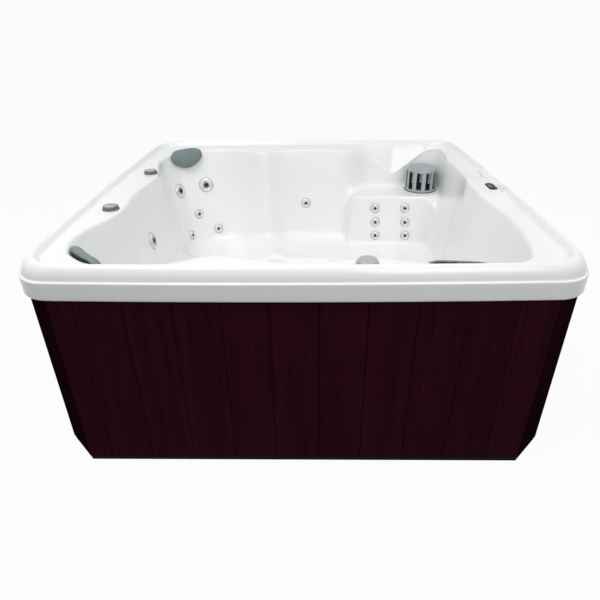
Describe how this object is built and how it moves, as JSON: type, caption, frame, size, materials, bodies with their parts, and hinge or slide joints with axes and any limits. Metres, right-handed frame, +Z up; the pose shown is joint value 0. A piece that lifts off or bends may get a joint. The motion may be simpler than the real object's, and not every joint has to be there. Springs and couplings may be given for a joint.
{
  "type": "hot tub",
  "caption": "Square portable hot tub: moulded white acrylic shell with contoured seats, jets, head pillows, filter shelf and rim controls in a dark vertical-board cabinet.",
  "frame": {"origin": "centre of the footprint, on the ground", "axes": "+Z up, the viewed front of the cabinet faces -Y, +X is to the viewer's right, towards the filter and the rim control"},
  "size_m": [1.9296, 1.9296, 0.84],
  "materials": {
    "acrylic": "polished moulded acrylic",
    "basket_grey": "satin",
    "box_steel": "painted",
    "button": "satin",
    "cabinet_board": "dark mahogany stain, satin",
    "control_black": "gloss",
    "display": "dark window",
    "filter_media": "pleated",
    "fitting_black": "matt",
    "fitting_grey": "satin",
    "frame_timber": "sawn",
    "heater_steel": "brushed",
    "jet_face": "polished steel face",
    "knob_grey": "satin",
    "knob_silver": "satin silver",
    "lens": "clear",
    "motor": "painted",
    "pan_black": "matt",
    "pillow": "soft matt foam",
    "pipe_white": "satin",
    "screw": "painted"
  },
  "bodies": {
    "tub": {"air_control_bezels": "fitting_grey", "air_pipes": "pipe_white", "base_pan": "pan_black", "control_box": "box_steel", "control_display": "display", "control_housing": "control_black", "corner_panels": "cabinet_board", "diverter_body": "fitting_grey", "drain_valve": "fitting_black", "filter_canister": "pipe_white", "filter_cartridge": "filter_media", "floor_supports": "frame_timber", "frame_rails": "frame_timber", "frame_sills": "frame_timber", "frame_studs": "frame_timber", "heater": "heater_steel", "jet_bodies": "fitting_grey", "light_lens": "lens", "ozone_generator": "fitting_black", "pillow_far_left": "pillow", "pillow_near_left": "pillow", "pillow_near_right": "pillow", "pressure_pipes": "pipe_white", "pump_motor": "motor", "pump_wet_end": "fitting_black", "shell": "acrylic", "skirt_back": "cabinet_board", "skirt_front": "cabinet_board", "skirt_left": "cabinet_board", "skirt_right": "cabinet_board", "skirt_screws": "screw", "suction_covers": "fitting_grey", "suction_pipes": "pipe_white"},
    "jet_far_left_upper_left": {"jet_far_left_upper_left": "jet_face"},
    "jet_far_left_upper_right": {"jet_far_left_upper_right": "jet_face"},
    "jet_far_left_middle": {"jet_far_left_middle": "jet_face"},
    "jet_far_left_lower_right": {"jet_far_left_lower_right": "jet_face"},
    "jet_far_left_lower_left": {"jet_far_left_lower_left": "jet_face"},
    "jet_mid_left": {"jet_mid_left": "jet_face"},
    "jet_far_middle": {"jet_far_middle": "jet_face"},
    "jet_foot_left_top": {"jet_foot_left_top": "jet_face"},
    "jet_foot_left_middle": {"jet_foot_left_middle": "jet_face"},
    "jet_foot_left_bottom": {"jet_foot_left_bottom": "jet_face"},
    "jet_foot_right_top": {"jet_foot_right_top": "jet_face"},
    "jet_foot_right_middle": {"jet_foot_right_middle": "jet_face"},
    "jet_foot_right_bottom": {"jet_foot_right_bottom": "jet_face"},
    "jet_near_left_upper_left": {"jet_near_left_upper_left": "jet_face"},
    "jet_near_left_upper_right": {"jet_near_left_upper_right": "jet_face"},
    "jet_near_left_lower": {"jet_near_left_lower": "jet_face"},
    "jet_lounge_upper_left": {"jet_lounge_upper_left": "jet_face"},
    "jet_lounge_upper_right": {"jet_lounge_upper_right": "jet_face"},
    "jet_lounge_lower": {"jet_lounge_lower": "jet_face"},
    "air_knob_near": {"air_knob_near": "knob_grey"},
    "air_knob_far": {"air_knob_far": "knob_grey"},
    "diverter_knob": {"diverter_knob": "knob_silver"},
    "filter_basket": {"filter_basket": "basket_grey"},
    "control_button_jets": {"control_button_jets": "button"},
    "control_button_light": {"control_button_light": "button"},
    "control_button_warmer": {"control_button_warmer": "button"},
    "control_button_cooler": {"control_button_cooler": "button"}
  },
  "joints": [
    {"name": "jet_far_left_upper_left_turn", "type": "hinge", "parent": "tub", "child": "jet_far_left_upper_left", "pos_m": [-0.76855, 0.6358, 0.603], "axis": [0.9153, -0.3441, 0.2096], "range_deg": [0, 90]},
    {"name": "jet_far_left_upper_right_turn", "type": "hinge", "parent": "tub", "child": "jet_far_left_upper_right", "pos_m": [-0.62886, 0.75747, 0.604], "axis": [0.3226, -0.9251, 0.2001], "range_deg": [0, 90]},
    {"name": "jet_far_left_middle_turn", "type": "hinge", "parent": "tub", "child": "jet_far_left_middle", "pos_m": [-0.67849, 0.68563, 0.436], "axis": [0.5861, -0.7806, 0.2171], "range_deg": [0, 90]},
    {"name": "jet_far_left_lower_right_turn", "type": "hinge", "parent": "tub", "child": "jet_far_left_lower_right", "pos_m": [-0.56821, 0.7169, 0.325], "axis": [0.2301, -0.9529, 0.1979], "range_deg": [0, 90]},
    {"name": "jet_far_left_lower_left_turn", "type": "hinge", "parent": "tub", "child": "jet_far_left_lower_left", "pos_m": [-0.7182, 0.60051, 0.325], "axis": [0.9075, -0.3633, 0.2109], "range_deg": [0, 90]},
    {"name": "jet_mid_left_turn", "type": "hinge", "parent": "tub", "child": "jet_mid_left", "pos_m": [-0.75303, -0.05266, 0.56], "axis": [0.9863, -0.0048, 0.165], "range_deg": [0, 90]},
    {"name": "jet_far_middle_turn", "type": "hinge", "parent": "tub", "child": "jet_far_middle", "pos_m": [0.00788, 0.75216, 0.483], "axis": [0.0252, -0.9888, 0.1468], "range_deg": [0, 90]},
    {"name": "jet_foot_left_top_turn", "type": "hinge", "parent": "tub", "child": "jet_foot_left_top", "pos_m": [0.43365, 0.59906, 0.499], "axis": [0.0162, -0.9994, 0.0305], "range_deg": [0, 90]},
    {"name": "jet_foot_left_middle_turn", "type": "hinge", "parent": "tub", "child": "jet_foot_left_middle", "pos_m": [0.43974, 0.59644, 0.409], "axis": [0.0166, -0.9994, 0.0303], "range_deg": [0, 90]},
    {"name": "jet_foot_left_bottom_turn", "type": "hinge", "parent": "tub", "child": "jet_foot_left_bottom", "pos_m": [0.4443, 0.59391, 0.322], "axis": [0.0164, -0.9974, 0.0708], "range_deg": [0, 90]},
    {"name": "jet_foot_right_top_turn", "type": "hinge", "parent": "tub", "child": "jet_foot_right_top", "pos_m": [0.61575, 0.59671, 0.499], "axis": [-0.0473, -0.9985, 0.0278], "range_deg": [0, 90]},
    {"name": "jet_foot_right_middle_turn", "type": "hinge", "parent": "tub", "child": "jet_foot_right_middle", "pos_m": [0.6236, 0.59385, 0.409], "axis": [-0.0505, -0.9983, 0.0276], "range_deg": [0, 90]},
    {"name": "jet_foot_right_bottom_turn", "type": "hinge", "parent": "tub", "child": "jet_foot_right_bottom", "pos_m": [0.6316, 0.59104, 0.322], "axis": [-0.053, -0.9965, 0.0646], "range_deg": [0, 90]},
    {"name": "jet_near_left_upper_left_turn", "type": "hinge", "parent": "tub", "child": "jet_near_left_upper_left", "pos_m": [-0.79168, -0.6882, 0.603], "axis": [0.8831, 0.3945, 0.254], "range_deg": [0, 90]},
    {"name": "jet_near_left_upper_right_turn", "type": "hinge", "parent": "tub", "child": "jet_near_left_upper_right", "pos_m": [-0.65396, -0.80757, 0.603], "axis": [0.3081, 0.9189, 0.2465], "range_deg": [0, 90]},
    {"name": "jet_near_left_lower_turn", "type": "hinge", "parent": "tub", "child": "jet_near_left_lower", "pos_m": [-0.69573, -0.72045, 0.4], "axis": [0.6524, 0.7099, 0.2654], "range_deg": [0, 90]},
    {"name": "jet_lounge_upper_left_turn", "type": "hinge", "parent": "tub", "child": "jet_lounge_upper_left", "pos_m": [0.40024, -0.80275, 0.6], "axis": [0.2322, 0.9582, 0.1673], "range_deg": [0, 90]},
    {"name": "jet_lounge_upper_right_turn", "type": "hinge", "parent": "tub", "child": "jet_lounge_upper_right", "pos_m": [0.63505, -0.81283, 0.6], "axis": [-0.2736, 0.9308, 0.2425], "range_deg": [0, 90]},
    {"name": "jet_lounge_lower_turn", "type": "hinge", "parent": "tub", "child": "jet_lounge_lower", "pos_m": [0.50659, -0.78009, 0.4], "axis": [0.0285, 0.9784, 0.2046], "range_deg": [0, 90]},
    {"name": "air_knob_near_turn", "type": "hinge", "parent": "tub", "child": "air_knob_near", "pos_m": [-0.825, -0.307, 0.8115], "axis": [0, 0, 1], "range_deg": [0, 120]},
    {"name": "air_knob_far_turn", "type": "hinge", "parent": "tub", "child": "air_knob_far", "pos_m": [-0.812, 0.266, 0.8115], "axis": [0, 0, 1], "range_deg": [0, 120]},
    {"name": "diverter_knob_turn", "type": "hinge", "parent": "tub", "child": "diverter_knob", "pos_m": [0.219, -0.866, 0.8115], "axis": [0, 0, 1], "range_deg": [0, 180]},
    {"name": "filter_basket_lift", "type": "slide", "parent": "tub", "child": "filter_basket", "axis": [0, 0, 1], "range_m": [0, 0.25]},
    {"name": "control_button_jets_press", "type": "slide", "parent": "tub", "child": "control_button_jets", "axis": [0, 0, -1], "range_m": [0, 0.001], "stiffness_N_per_m": 400},
    {"name": "control_button_light_press", "type": "slide", "parent": "tub", "child": "control_button_light", "axis": [0, 0, -1], "range_m": [0, 0.001], "stiffness_N_per_m": 400},
    {"name": "control_button_warmer_press", "type": "slide", "parent": "tub", "child": "control_button_warmer", "axis": [0, 0, -1], "range_m": [0, 0.001], "stiffness_N_per_m": 400},
    {"name": "control_button_cooler_press", "type": "slide", "parent": "tub", "child": "control_button_cooler", "axis": [0, 0, -1], "range_m": [0, 0.001], "stiffness_N_per_m": 400}
  ]
}
